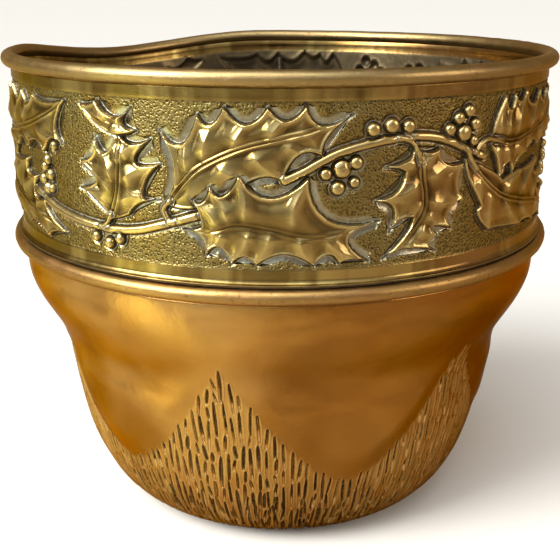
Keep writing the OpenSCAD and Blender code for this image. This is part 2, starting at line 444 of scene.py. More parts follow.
# %% The grid of one repeat
PANELS = 6
PANEL_COLS = 358
RING_COLS = PANELS * PANEL_COLS
repeat_cols = RING_COLS // 3
FRIEZE_ROWS = 170
frieze_low = ground_z - bead_z
frieze_high = collar_z - bead_z
rows_v = np.linspace(frieze_low, frieze_high, FRIEZE_ROWS)
cell_u = REPEAT * MM_PER_DEGREE / repeat_cols
cell_v = rows_v[1] - rows_v[0]
left_u = -60 * MM_PER_DEGREE

height = np.zeros((FRIEZE_ROWS, repeat_cols))
worked = np.zeros_like(height)
grime = np.zeros_like(height)
pocket = np.zeros_like(height)
print(f"frieze cell {cell_u:.2f} by {cell_v:.2f} mm")


def window(points, margin):
    """The part of the repeat round some points: its place in the arrays, and its grid of places."""
    low, high = points.min(axis=0) - margin, points.max(axis=0) + margin
    cols = np.arange(int((low[0] - left_u) // cell_u), int((high[0] - left_u) // cell_u) + 2)
    first = max(0, int((low[1] - frieze_low) // cell_v))
    last = min(FRIEZE_ROWS, int((high[1] - frieze_low) // cell_v) + 2)
    rows = np.arange(first, last)
    u, v = np.meshgrid(left_u + cols * cell_u, rows_v[rows])
    return np.ix_(rows, cols % repeat_cols), u, v


# %% [markdown]
# ## Pressing the leaves
#
# Each leaf swells up from a sharp edge, is highest a few millimetres in, and sinks towards its rib. The
# rib is a pair of fine ridges with a groove between them. A fold runs out from the rib to each spine.
# Round every shape the ground is sunk a little, and that is where polish never reaches and dark grime
# collects. A shape pressed later lies over the earlier ones.

# %% Press leaves, stems and berries
LEAF_EDGE = 0.85   # a leaf's edge stands this high over the ground, in mm
LEAF_SWELL = 1.1   # its middle stands this much higher
SWELL_WIDTH = 6.5  # and reaches that height this far in
FOLD = 1.5         # height of a fold where it leaves the rib
FOLD_WIDTH = 3.0   # how softly it falls away to its sides
STEM_HEIGHT, STEM_FOOT = 1.6, 0.5
BERRY_HEIGHT, BERRY_FOOT = 2.1, 0.4


def press(at, body, cover, sink, hollow_share, dirt):
    """Lays one shape over what is there: body where cover is 1, the old surface less sink elsewhere.
    hollow_share says where polish dries round it, and dirt where its outline stays black."""
    height[at] = (height[at] - sink) * (1 - cover) + body * cover
    worked[at] = np.maximum(worked[at], cover)
    pocket[at] = np.maximum(pocket[at] * (1 - cover), hollow_share * (1 - cover))
    grime[at] = np.maximum(grime[at] * (1 - cover), dirt)


def press_leaf(leaf, lift=0.0, rib_share=1.0):
    """One holly leaf. Its height is a sharp edge, plus an eased swell over 6.5 mm, plus the highest of
    the folds that run out to its spines, plus two bells beside the rib and less one over it."""
    loop = scallops(leaf["edge"])
    at, u, v = window(loop, 5)
    edge, _ = distance(u, v, np.vstack([loop, loop[:1]]))
    edge = np.where(within(u, v, loop), edge, -edge)
    in_bay = within(u, v, to_mm(leaf["edge"][0::2])) & (edge < 0)
    rib, along = distance(u, v, flowing(to_mm(leaf["rib"])))
    fold = np.zeros(u.shape)
    for start, tip in leaf["veins"]:
        a, b = to_mm(start), to_mm(tip)
        side = np.array([-(b - a)[1], (b - a)[0]]) * np.sign(b[0] - a[0]) * np.sign(b[1] - a[1])
        vein, out = distance(u, v, flowing(np.array([a, (a + b) / 2 + 0.1 * side, b]), 6))
        crest = FOLD * np.exp(-vein / FOLD_WIDTH) * ease(out / 0.3) * (1 - 0.45 * out**2)
        fold = np.maximum(fold, crest)
    body = LEAF_EDGE + LEAF_SWELL * ease(edge / SWELL_WIDTH) + fold * ease((edge + 0.3) / 0.9)
    body += 0.4 * bell(edge - 0.45, 0.5) - 0.25 * bell(edge - 2.2, 1.3) * (fold < 0.6)
    strong = rib_share * (1 - 0.6 * along)
    body += strong * (1.0 * bell(rib - 0.75, 0.45) - 0.9 * bell(rib, 2.6))
    cover = ease((edge + 0.25) / 0.5)
    reach = np.where(in_bay, 2.3, 0.65)
    sink = np.where(in_bay, 0.85, 0.5) * bell(edge + 0.5, reach) * (edge < 0)
    hollow_share = ease(1.35 * bell(edge + 0.3, reach)) * (edge < 0.2)
    press(at, np.maximum(body, 0.3) + lift, cover, sink, hollow_share, bell(edge + 0.12, 0.35))


def press_stem(path, radius):
    """A half-round stem along a path: its height is the root of 1 less the squared distance."""
    line = flowing(to_mm(path))
    at, u, v = window(line, 5)
    off, _ = distance(u, v, line)
    body = STEM_FOOT + STEM_HEIGHT * np.sqrt(np.clip(1 - (off / radius) ** 2, 0, 1)) * math.sqrt(radius / 1.65)
    cover = ease((radius + 0.25 - off) / 0.5)
    beside = off - radius
    press(at, np.maximum(body, height[at]), cover, 0.45 * bell(beside - 0.5, 0.8) * (beside > 0),
          0.9 * bell(beside - 0.3, 0.7) * (beside > 0), 0.9 * bell(beside - 0.05, 0.35))


def press_berry(turn, up, radius):
    """A round berry, half of a ball on a low foot, with a small pit in its top."""
    middle = to_mm([(turn, up)])
    at, u, v = window(middle, radius + 4)
    off = np.hypot(u - middle[0, 0], v - middle[0, 1])
    body = BERRY_FOOT + BERRY_HEIGHT * np.sqrt(np.clip(1 - (off / radius) ** 2, 0, 1)) * math.sqrt(radius / 2.6)
    body -= 0.25 * bell(off, 0.45)
    cover = ease((radius + 0.2 - off) / 0.45)
    beside = off - radius
    press(at, body, cover, 0.6 * bell(beside - 0.5, 0.8) * (beside > 0),
          0.8 * bell(beside - 0.5, 0.7) * (beside > 0), bell(beside - 0.05, 0.4))


press_leaf(UPPER_LEAF)
for path, radius in STEMS.values():
    press_stem(path, radius)
for leaf in (LEFT_LEAF, RIGHT_LEAF, FAR_LEAF):
    press_leaf(leaf)
press_leaf(LEFT_FLAP, lift=0.45, rib_share=0.3)
press_leaf(LOW_LEAF, lift=0.15)
press_leaf(MIDDLE_LEAF, lift=0.5, rib_share=0.35)
for path, radius in STALKS.values():
    press_stem(path, radius)
for berry in BERRIES:
    press_berry(*berry)
print(f"relief from {height.min():.1f} to {height.max():.1f} mm, {worked.mean():.0%} of it worked")


# %% [markdown]
# ## The matted ground
#
# Between the leaves the ground was struck all over with a small matting punch. Random values blurred to
# the size of the punch give its irregular pits. The blur is done with a Fourier transform, which also
# joins up at the ends of the repeat. The same blur tells high spots from hollows: a point that stands
# above its blurred surroundings is polished, and one that lies below them is dull.

# %% Matting
PUNCH = 0.16    # size of the punch marks
MATTING = 0.07  # their depth
PRESSED, BACK_PRESSED = 0.14, 0.5  # how far the sheet rounds off the die, front and back
RUBBED = 1.3    # a cloth reaches what stands higher than its surroundings of this size


def blurred(field, size):
    """Spreads a field by a bell of the given size in mm."""
    fu = np.fft.fftfreq(field.shape[1], cell_u)[None, :]
    fv = np.fft.fftfreq(field.shape[0], cell_v)[:, None]
    spread = np.exp(-2 * (math.pi * size) ** 2 * (fu**2 + fv**2))
    return np.fft.ifft2(np.fft.fft2(field) * spread).real


grain = blurred(np.random.default_rng(5).standard_normal(height.shape), PUNCH)
grain /= grain.std()
ground = (1 - worked) * (1 - 0.9 * np.clip(1.3 * pocket, 0, 1))
height += ground * MATTING * np.clip(grain, -1.6, 1.6)
dents = blurred(np.random.default_rng(6).standard_normal(height.shape), 1.5)
height += worked * 0.03 * dents / dents.std()
height = blurred(height, PRESSED)
back_height = blurred(height, BACK_PRESSED)
nearby = blurred(height, RUBBED)
hollow = np.clip((nearby - height) / 0.9, 0, 1)
high_spots = np.clip((height - nearby) / 0.8, 0, 1)
# shade: painted shade, partly tarnish, where the relief lies below its wider surroundings, and a painted
# highlight, partly rubbed wear, where it stands above them
shade = worked * np.clip((blurred(height, 2 * RUBBED) - height) / 0.8, -1, 1)
grime = np.clip(0.8 * grime + 0.35 * hollow + 0.3 * ground * np.clip(-grain, 0, 1), 0, 1)
print(f"matting over {ground.mean():.0%} of the frieze")

# %% [markdown]
# ## The band
#
# One column of the band runs up its outer face and down its inner face: over the cove that flares on
# to the bead, the plain strip, the embossed ground and the plain collar. The back of a pressed sheet
# shows the same relief softened, so the inner face uses a blurred copy of it.

# %% Rows of the band
STRIP_EDGE = 0.6
cove_centre = (wall_r + 2.4, bead_z + ROLL + 0.45 + SHEET / 2 + 2.4)
cove_out = arc(cove_centre, 2.0, 262, 180, 8)
strip_z = np.linspace(cove_centre[1] + 0.8, ground_z - STRIP_EDGE, 7)
top_z = np.linspace(collar_z + STRIP_EDGE, rim_z - 2.7, 7)
outer = np.vstack([
    cove_out,
    np.stack([np.full(7, wall_r + SHEET / 2), strip_z], axis=1),
    np.stack([np.full(FRIEZE_ROWS, wall_r + SHEET / 2 - GROUND_STEP), rows_v + bead_z], axis=1),
    np.stack([np.full(7, wall_r + SHEET / 2), top_z], axis=1),
])
frieze_at = slice(len(cove_out) + 7, len(cove_out) + 7 + FRIEZE_ROWS)
BACK_STEP = 3
back_rows = np.arange(FRIEZE_ROWS - 2, 0, -BACK_STEP)
inner = np.vstack([
    np.stack([np.full(3, wall_r - SHEET / 2), top_z[[-1, 3, 0]]], axis=1),
    np.stack([np.full(len(back_rows), wall_r - SHEET / 2 - GROUND_STEP),
              rows_v[back_rows] + bead_z], axis=1),
    np.stack([np.full(2, wall_r - SHEET / 2), strip_z[[5, 0]]], axis=1),
    arc(cove_centre, 2.8, 180, 262, 6),
])
back_at = slice(len(outer) + 3, len(outer) + 3 + len(back_rows))
outline = np.vstack([outer, inner])
is_inner = (np.arange(len(outline)) >= len(outer) - 1) & (outline[:, 1] < collar_z + 0.5)
print(f"band: {len(outline)} rows by {RING_COLS} columns")

# %% The band's surface
EMBOSSING = 0.85  # share of the die's depth that the sheet took
phi = -180 + 360 * np.arange(RING_COLS) / RING_COLS
theta = phi - 90
turn = phi / 360
shift = np.mod(np.arange(RING_COLS) + int(round((-180 + 60) / 360 * RING_COLS)), repeat_cols)

radius = np.repeat(outline[:, :1], RING_COLS, axis=1)
level = np.repeat(outline[:, 1:], RING_COLS, axis=1)
rise = (level - bead_z) / (rim_z - bead_z)
calm = ease((rim_z - 2.7 - level) / 4) * ease((level - cove_centre[1] + 1) / 4)
for dent, wide, tall, seed in ((0.16, 26, 3, 11), (0.05, 90, 9, 12)):
    radius += calm * dent * uneven(turn[None, :], rise, wide, tall, seed)
radius[frieze_at] += EMBOSSING * height[:, shift]
radius[back_at] += EMBOSSING * back_height[back_rows][:, shift]
band_points = place(radius, level, theta[None, :])
band_normals = surface_normals(band_points, ring=True)

band_values = {}
for key, field in (("ground", ground), ("pocket", pocket), ("grime", grime), ("polish", high_spots),
                   ("shade", shade)):
    band_values[key] = np.zeros(radius.shape)
    band_values[key][frieze_at] = field[:, shift]
is_plain = (outline[:, 1] < ground_z - 0.3) | (outline[:, 1] > collar_z + 0.3)
band_values["plain"] = np.repeat(is_plain[:, None].astype(float), RING_COLS, axis=1)
line_dirt = 0.7 * bell(outline[:, 1] - collar_z, 0.6) + 0.5 * bell(outline[:, 1] - ground_z, 0.5)
band_values["grime"] += line_dirt[:, None] * (0.7 + 0.3 * uneven(turn[None, :], rise, 60, 2, 13))

band_panels = cut_in_panels("frieze_panel", PANELS, band_points, band_normals, band_values, is_inner)
print("band panels:", len(band_panels), "of", len(band_panels[0].data.polygons), "faces")

# %% [markdown]
# ## The rolled rim and the bead
#
# A wired edge is the sheet itself, curled round a wire until it nearly meets its own wall. Its outline
# is the path of the sheet's middle, given its thickness, and it is carried round the pot in one closed
# ring. Old rolled edges are never quite even, so the ring swells and dips by a tenth of a millimetre.

# %% Rolled edges
EDGE_COLS = 640


def rolled_edge(name, path, root, seed):
    """A ring of curled sheet with soft random unevenness. Its two root points lie inside the wall, so
    they are thinner and stay even."""
    thickness = np.full(len(path), SHEET)
    thickness[root] = 0.5
    even = np.ones(len(path))
    even[root] = 0
    even = np.concatenate([even, even[::-1]])[:, None]
    outline = sheet_outline(path, thickness)
    turn = np.arange(EDGE_COLS) / EDGE_COLS
    theta = 360 * turn - 90
    middle = path.mean(axis=0)
    out = outline - middle
    out /= np.linalg.norm(out, axis=1, keepdims=True)
    around = np.linspace(0, 1, len(outline))[:, None]
    dent = 0.10 * uneven(turn[None, :], around, 40, 4, seed)
    dent += 0.05 * uneven(turn[None, :], around, 130, 8, seed + 1)
    r = outline[:, :1] + out[:, :1] * dent * even
    z = outline[:, 1:] + out[:, 1:] * dent * even
    points = place(r, z, theta[None, :])
    worn = np.clip(0.5 + 0.5 * uneven(turn[None, :], around, 50, 4, seed + 2), 0, 1) + 0 * r
    return grid_piece(name, points, surface_normals(points, ring=True), True, {"worn": worn})


wall_meets = math.degrees(math.acos((wall_r - rim_r) / CURL))
rim_path = np.vstack([
    [[wall_r, rim_z - 4.0], [wall_r, rim_z - 3.2]],
    arc((rim_r, rim_z), CURL, 360 - wall_meets, -85, 26),
])
rolled_rim = rolled_edge("rolled_rim", rim_path, slice(0, 2), 21)

neck_r = bead_r - CURL
bead_path = np.vstack([
    arc((bead_r, bead_z), CURL, -120, 180, 24),
    [[neck_r, bead_z - 2.0], [neck_r, bead_z - 4.2]],
])
bead_roll = rolled_edge("bead_roll", bead_path, slice(-2, None), 31)
print("rolled edges:", rolled_rim.name, bead_roll.name)

# %% [markdown]
# ## The bowl
#
# The bowl's outline is two curves that meet at its shoulder. Six smooth lobes swell out of it like
# cushions: each has a crease above it and hangs down in a bow between two sharp peaks. Everything
# between and below the lobes is chased with short strokes.

# %% Outline and lobes of the bowl
LOBES = 6
LOBE_TURN = -73.0
LOBE_SWELL = 1.6
LOBE_BOW = 1.7
lobe_top_z = 0.74 * bead_z
lobe_low_z = 0.30 * bead_z
crease_z = 0.655 * bead_z
shoulder = np.array([0.8487 * rim_r, 0.599 * bead_z])


def cubic(points, t):
    """A cubic curve pulled by its two middle points."""
    a, b, c, d = [np.array(p) for p in points]
    t = t[:, None]
    return (1 - t) ** 3 * a + 3 * t * (1 - t) ** 2 * b + 3 * t * t * (1 - t) * c + t**3 * d


def bowl_outline(spacing):
    """Middle of the bowl's sheet from the neck to the edge of the flat base, at given lengths."""
    t = np.linspace(0, 1, 300)
    upper = cubic([(neck_r, bead_z - 3.5), (neck_r + 3.1, bead_z - 22),
                   (shoulder[0] + 4.4, shoulder[1] + 18), shoulder], t)
    lower = cubic([shoulder, (shoulder[0] - 5.1, shoulder[1] * 0.47),
                   (shoulder[0] - 12, SHEET / 2), (BASE_R, SHEET / 2)], t)
    path = np.vstack([upper[:-1], lower])
    length = np.concatenate([[0], np.cumsum(np.hypot(*np.diff(path, axis=0).T))])
    where = spacing(length[-1])
    return np.stack([np.interp(where, length, path[:, k]) for k in (0, 1)], axis=1), where


def lobe_phase(theta):
    """0 in the middle of a lobe and 1 half way to the next one."""
    apart = np.abs(np.mod((theta - LOBE_TURN) * LOBES + 180, 360) - 180)
    return apart / 180


def lobe_edge(theta):
    """Height of a lobe's lower edge."""
    return lobe_low_z + (lobe_top_z - lobe_low_z) * lobe_phase(theta) ** LOBE_BOW


def swell(theta, z):
    """How far the bowl stands out: a cushion in each lobe, with a crease over it."""
    cushion = ease((z - lobe_edge(theta) + 2) / 16) * ease((crease_z + 5 - z) / 18)
    crease = bell(z - crease_z - 3, 9) * (1 - lobe_phase(theta) ** 2)
    return LOBE_SWELL * cushion - 0.5 * crease


print(f"the lobes hang down from {lobe_top_z:.0f} mm to {lobe_low_z:.0f} mm")

# %% [markdown]
# ## Chased strokes
#
# The chaser worked down the bowl in columns, with a blunt punch struck many times in a line. Every
# column starts at the lobe's edge, and each stroke has its own length, lean, bow and place. Near the
# base a second set of columns runs between the first, so the strokes crowd into each other. A stroke
# is a groove with round ends: its depth follows the distance to a short line, steeper on one side, and
# the metal that it pushed aside stands up as a low lip. Grime lines its upper part. The lip is painted
# pale, partly as rubbed wear and partly as a painted highlight, and the foot often has a painted glint.

# %% Strokes
SECTORS = 4
SECTOR_COLS = 460
BOWL_COLS = SECTORS * SECTOR_COLS
STROKE_COLUMNS = 184
CROWDED_STEP = 1.25   # columns of the second set, in steps of the first
CROWDED_TOP = 0.26    # where the second set starts, as a share of the bead's height
STROKE_HALF = 0.85    # half of a stroke's width, in mm
STROKE_DEPTH = 0.8
STROKE_LIP = 0.32
STROKE_END = 0.8      # length of a stroke's round end
SMOOTH_LENGTH = 30.0  # the smooth neck, along the outline


def bowl_rows(total):
    """Wide rows over the smooth neck and close ones where the strokes are."""
    smooth, chased = np.arange(0, SMOOTH_LENGTH, 1.2), np.arange(SMOOTH_LENGTH, total, 0.9)
    return np.concatenate([smooth, chased, [total]])


bowl_mid, bowl_s = bowl_outline(bowl_rows)
bowl_side = across(bowl_mid)
if bowl_side[0, 0] < 0:
    bowl_side = -bowl_side
bowl_phi = -180 + 360 * np.arange(BOWL_COLS) / BOWL_COLS
bowl_theta = bowl_phi - 90

stroke_depth = np.zeros((len(bowl_mid), BOWL_COLS))
stroke_lip = np.zeros_like(stroke_depth)
stroke_dirt = np.zeros_like(stroke_depth)
stroke_glint = np.zeros_like(stroke_depth)
rng = np.random.default_rng(41)
pitch = 360 / STROKE_COLUMNS
cols_each = int(BOWL_COLS / STROKE_COLUMNS) + 5


def chase_column(centre, start):
    """Strikes one column of strokes down the bowl, at an angle round the pot, from a length along the
    bowl's outline. off is the distance from a stroke's middle line in half widths, skewed to make one
    side steep, and the groove, its lip and its lining all follow from it."""
    middle_col = int((centre + 180) / 360 * BOWL_COLS)
    cols = (middle_col + np.arange(-cols_each // 2, cols_each // 2 + 1)) % BOWL_COLS
    from_centre = np.radians(np.mod(bowl_phi[cols] - centre + 180, 360) - 180)
    while start < bowl_s[-1]:
        length = rng.uniform(5.0, 18.0)
        end = start + length
        lean = rng.uniform(-1.2, 1.2)
        bow = rng.uniform(-0.7, 0.7)
        offset = rng.uniform(-0.5, 0.5)
        depth = rng.uniform(0.6, 1.2)
        wide = STROKE_HALF * rng.uniform(0.65, 1.15)
        dirty = rng.uniform(0.4, 1.25)
        clean_foot = rng.uniform(0.35, 1.2)
        rows = np.where((bowl_s > start - 2) & (bowl_s < end + 2))[0]
        s = bowl_s[rows][:, None]
        along = np.clip((s - start) / length, 0, 1)
        swerve = offset + lean * (along - 0.5) + bow * along * (1 - along)
        x = from_centre[None, :] * bowl_mid[rows, 0][:, None] - swerve
        half = wide * (1 - 0.5 * np.abs(2 * along - 1) ** 3)
        beyond = np.maximum(np.maximum(start - s, s - end) + STROKE_END, 0)
        side = x / half
        steep = side + 0.4 * np.clip(1 - side**2, 0, 1)
        off = np.hypot(steep, beyond / wide)
        groove = ease(1.5 * (1 - off)) * depth
        at = np.ix_(rows, cols)
        stroke_depth[at] = np.minimum(stroke_depth[at], -STROKE_DEPTH * groove)
        lip = STROKE_LIP * depth * bell(off - 1.5, 0.45)
        stroke_lip[at] = np.maximum(stroke_lip[at], lip)
        # foot: the lower part of a stroke, kept free of lining and given a painted glint
        foot = ease((along - clean_foot) / 0.2)
        in_groove = ease(2.0 * (1 - off))
        stroke_dirt[at] = np.maximum(stroke_dirt[at], in_groove * dirty * (1 - 0.9 * foot))
        stroke_glint[at] = np.maximum(stroke_glint[at], in_groove * foot)
        start = end + rng.uniform(-0.8, 0.9)


def length_at(z):
    """How far down the bowl's outline a height is."""
    return np.interp(-z, -bowl_mid[:, 1], bowl_s)


for centre in -180 + (np.arange(STROKE_COLUMNS) + 0.5) * pitch:
    chase_column(centre, length_at(lobe_edge(centre - 90)) + rng.uniform(-1.5, 1.0))
for centre in -180 + np.arange(0, STROKE_COLUMNS, CROWDED_STEP) * pitch:
    chase_column(centre, length_at(CROWDED_TOP * bead_z) + rng.uniform(0, 14))
print(f"bowl: {len(bowl_mid)} rows by {BOWL_COLS} columns, strokes reach {-stroke_depth.min():.2f} mm")

# %% The bowl's surface
INNER_STEP = 5
inner_rows = np.arange(0, len(bowl_mid), INNER_STEP)
inner_rows = np.unique(np.append(inner_rows, len(bowl_mid) - 1))[::-1]
bowl_turn = bowl_phi[None, :] / 360
bowl_rise = bowl_mid[:, 1:] / bead_z
swelling = swell(bowl_theta[None, :], bowl_mid[:, 1:])
waves = 0.30 * uneven(bowl_turn, bowl_rise, 22, 7, 51)
waves += 0.07 * uneven(bowl_turn, bowl_rise, 60, 18, 52)
waves *= ease(bowl_rise / 0.15) * ease((1.0 - bowl_rise) / 0.08)
lobe_side = ease((lobe_edge(bowl_theta[None, :]) - bowl_mid[:, 1:]) / 3.0)
relief = (stroke_depth + stroke_lip * ease(1 + 5 * stroke_depth)) * ease((bowl_rise + 0.02) / 0.06)
flat = ease(bowl_mid[:, 1:] / 3.0)
bowl_outer_r = bowl_mid[:, :1] + swelling + bowl_side[:, :1] * (SHEET / 2 + relief * flat) + waves
bowl_outer_z = bowl_mid[:, 1:] + bowl_side[:, 1:] * (SHEET / 2 + relief * flat)
soft = swelling + waves
bowl_inner_r = (bowl_mid[:, :1] + soft - bowl_side[:, :1] * SHEET / 2)[inner_rows]
bowl_inner_z = (bowl_mid[:, 1:] - bowl_side[:, 1:] * SHEET / 2 + 0 * soft)[inner_rows]
bowl_r = np.vstack([bowl_outer_r[::-1], bowl_inner_r[::-1]])
bowl_z = np.vstack([bowl_outer_z[::-1], bowl_inner_z[::-1]])
bowl_points = place(bowl_r, bowl_z, bowl_theta[None, :])
bowl_normals = surface_normals(bowl_points, ring=True)
bowl_is_inner = np.arange(len(bowl_r)) >= len(bowl_mid) - 1
bowl_values = {key: np.zeros(bowl_r.shape) for key in ("chased", "grime", "polish")}
bowl_values["chased"][:len(bowl_mid)] = lobe_side[::-1]
# the bowl's polish values: lips painted pale, partly rubbed wear and partly a painted highlight, and painted
# glints at the feet of the strokes
lip_rub_and_highlight = 0.5 * stroke_lip / STROKE_LIP * ease(1 + 5 * stroke_depth)
bowl_values["polish"][:len(bowl_mid)] = np.maximum(lip_rub_and_highlight, stroke_glint)[::-1]
neck_dirt = 0.25 * bell(bowl_mid[:, 1:] - bead_z + 4.2, 0.9)
bowl_values["grime"][:len(bowl_mid)] = np.clip(stroke_dirt + neck_dirt, 0, 1)[::-1]

bowl_sectors = cut_in_panels("bowl_sector", SECTORS, bowl_points, bowl_normals, bowl_values,
                             bowl_is_inner)
print("bowl sectors:", len(bowl_sectors), "of", len(bowl_sectors[0].data.polygons), "faces")

# %% [markdown]
# ## The floor of the bowl
#
# The flat base is a thin disc. Its outline runs from the middle of the underside out to the edge and
# back over the inside, and it is spun round with a point at each pole. The inside is tarnished like the
# walls, so it has a finish of its own.

# %% Bowl floor
FLOOR_COLS = 240


def spun_disc(name, radius, bottom, top, rings):
    """A closed flat disc: rings of points outwards below, inwards above, and a fan at each middle. Its
    upper side takes the second material."""
    steps = np.linspace(0, radius, rings + 1)[1:]
    a = 2 * math.pi * np.arange(FLOOR_COLS) / FLOOR_COLS
    r = np.concatenate([steps, steps[::-1]])[:, None]
    z = np.concatenate([np.full(rings, bottom), np.full(rings, top)])[:, None]
    body = np.stack([r * np.cos(a), r * np.sin(a), z + 0 * a], axis=2).reshape(-1, 3)
    points = np.vstack([body, [[0, 0, bottom], [0, 0, top]]]) * MM
    index = np.arange(2 * rings * FLOOR_COLS).reshape(2 * rings, FLOOR_COLS)
    after = np.roll(index, -1, axis=1)
    quads = np.stack([index[:-1], index[1:], after[1:], after[:-1]], axis=2).reshape(-1, 4)
    low, high = np.full(FLOOR_COLS, len(body)), np.full(FLOOR_COLS, len(body) + 1)
    fans = np.vstack([np.stack([low, index[0], after[0]], axis=1),
                      np.stack([high, after[-1], index[-1]], axis=1)])
    mesh = bpy.data.meshes.new(name)
    mesh.from_pydata(points.tolist(), [], quads.tolist() + fans.tolist())
    mesh.polygons.foreach_set("use_smooth", np.zeros(len(mesh.polygons), bool))
    inside = np.arange(len(mesh.polygons)) >= (rings - 1) * FLOOR_COLS
    inside[-2 * FLOOR_COLS:-FLOOR_COLS] = False
    mesh.polygons.foreach_set("material_index", inside.astype(int))
    mesh.update()
    return shown(name, mesh)


bowl_floor = spun_disc("bowl_floor", BASE_R, 0.0, SHEET, 10)
print("floor disc:", len(bowl_floor.data.polygons), "faces")

# %% [markdown]
# ## Writing a finish
#
# A procedural finish is a chain of small steps: a pattern, a curve that sharpens it, a mix of two
# colours. The little class below lets a finish be written as plain lines of arithmetic. All patterns
# read Object coordinates, turned into millimetres, so a scale of 2 means two cells to a millimetre.

# %% Helper for finishes
class Finish:
    """A material with short names for its steps. Each step gives the socket that carries its result."""

    def __init__(self, name, **constants):
        self.material = bpy.data.materials.new(name)
        self.material.use_nodes = True
        self.tree = self.material.node_tree
        self.tree.nodes.clear()
        self.shader = self.tree.nodes.new("ShaderNodeBsdfPrincipled")
        out = self.tree.nodes.new("ShaderNodeOutputMaterial")
        self.tree.links.new(self.shader.outputs[0], out.inputs["Surface"])
        for key, number in constants.items():
            self.shader.inputs[key.replace("_", " ")].default_value = number
        coordinates = self.tree.nodes.new("ShaderNodeTexCoord").outputs["Object"]
        self.mm = self.vector("SCALE", coordinates, scale=1000)

    def put(self, socket, value):
        """Joins a result to a socket, or sets the socket to a number or colour."""
        if isinstance(value, bpy.types.NodeSocket):
            self.tree.links.new(value, socket)
        elif hasattr(socket.default_value, "__len__") and len(socket.default_value) == 4:
            socket.default_value = (*value, 1) if len(value) == 3 else value
        else:
            socket.default_value = value

    def vector(self, operation, a, scale):
        """A place scaled by one number, or multiplied by three."""
        node = self.tree.nodes.new("ShaderNodeVectorMath")
        node.operation = operation
        self.put(node.inputs[0], a)
        self.put(node.inputs["Scale" if operation == "SCALE" else 1], scale)
        return node.outputs[0]

    def axis(self, number):
        """One coordinate, in millimetres: 0 across, 1 deep, 2 up."""
        node = self.tree.nodes.new("ShaderNodeSeparateXYZ")
        self.put(node.inputs[0], self.mm)
        return node.outputs[number]

    def noise(self, scale, detail=3.0, rough=0.55, stretch=None):
        """Cloudy values from 0 to 1, with 'scale' cells to a millimetre."""
        node = self.tree.nodes.new("ShaderNodeTexNoise")
        place = self.mm if stretch is None else self.vector("MULTIPLY", self.mm, stretch)
        self.put(node.inputs["Vector"], place)
        node.inputs["Scale"].default_value = scale
        node.inputs["Detail"].default_value = detail
        node.inputs["Roughness"].default_value = rough
        return node.outputs[0]

    def cells(self, scale):
        """Distance to the nearest of many random points."""
        node = self.tree.nodes.new("ShaderNodeTexVoronoi")
        self.put(node.inputs["Vector"], self.mm)
        node.inputs["Scale"].default_value = scale
        return node.outputs["Distance"]

    def kept(self, name):
        """Numbers kept at the mesh's points."""
        node = self.tree.nodes.new("ShaderNodeAttribute")
        node.attribute_name = name
        return node.outputs["Fac"]

    def calc(self, operation, a, b=0.0):
        """One step of arithmetic."""
        node = self.tree.nodes.new("ShaderNodeMath")
        node.operation = operation
        for socket, value in zip(node.inputs, (a, b)):
            self.put(socket, value)
        return node.outputs[0]

    def times(self, a, b):
        """The product of two results."""
        return self.calc("MULTIPLY", a, b)

    def plus(self, a, b):
        """The sum of two results."""
        return self.calc("ADD", a, b)

    def between(self, value, low, high, to_low=0.0, to_high=1.0):
        """Carries the range low to high over to another range, and holds at its ends."""
        node = self.tree.nodes.new("ShaderNodeMapRange")
        for socket, number in zip(node.inputs, (value, low, high, to_low, to_high)):
            self.put(socket, number)
        return node.outputs[0]

    def mix(self, share, a, b):
        """Colour a where share is 0 and colour b where it is 1."""
        node = self.tree.nodes.new("ShaderNodeMix")
        node.data_type = "RGBA"
        self.put(node.inputs[0], share)
        self.put(node.inputs[6], a)
        self.put(node.inputs[7], b)
        return node.outputs[2]

    def relief(self, value, depth_mm, under=None):
        """Turns values into small bumps of the given depth."""
        node = self.tree.nodes.new("ShaderNodeBump")
        node.inputs["Distance"].default_value = depth_mm * MM
        self.put(node.inputs["Height"], value)
        if under is not None:
            self.put(node.inputs["Normal"], under)
        return node.outputs[0]

    def done(self, colour, roughness, metallic=None, normal=None):
        """Joins the results to the shader and gives back the material."""
        self.put(self.shader.inputs["Base Color"], colour)
        self.put(self.shader.inputs["Roughness"], roughness)
        if metallic is not None:
            self.put(self.shader.inputs["Metallic"], metallic)
        if normal is not None:
            self.put(self.shader.inputs["Normal"], normal)
        return self.material


# %% [markdown]
# ## Brass of the band
#
# Old embossed brass has three looks at once. The ground is olive and matt, with black in its pits. The
# leaves are golden where hands and cloths reach them, with a bluish grey bloom in their hollows. Every
# line where polish collects and dries is brown. The numbers kept at the points say which is where, and
# cloudy patterns break up the edges.

# %% Band finish
GOLD = (0.265, 0.205, 0.08)
OLIVE = (0.255, 0.205, 0.082)
ROSY = (0.27, 0.18, 0.06)
RESIDUE = (0.42, 0.43, 0.38)
GRIME = (0.035, 0.028, 0.014)


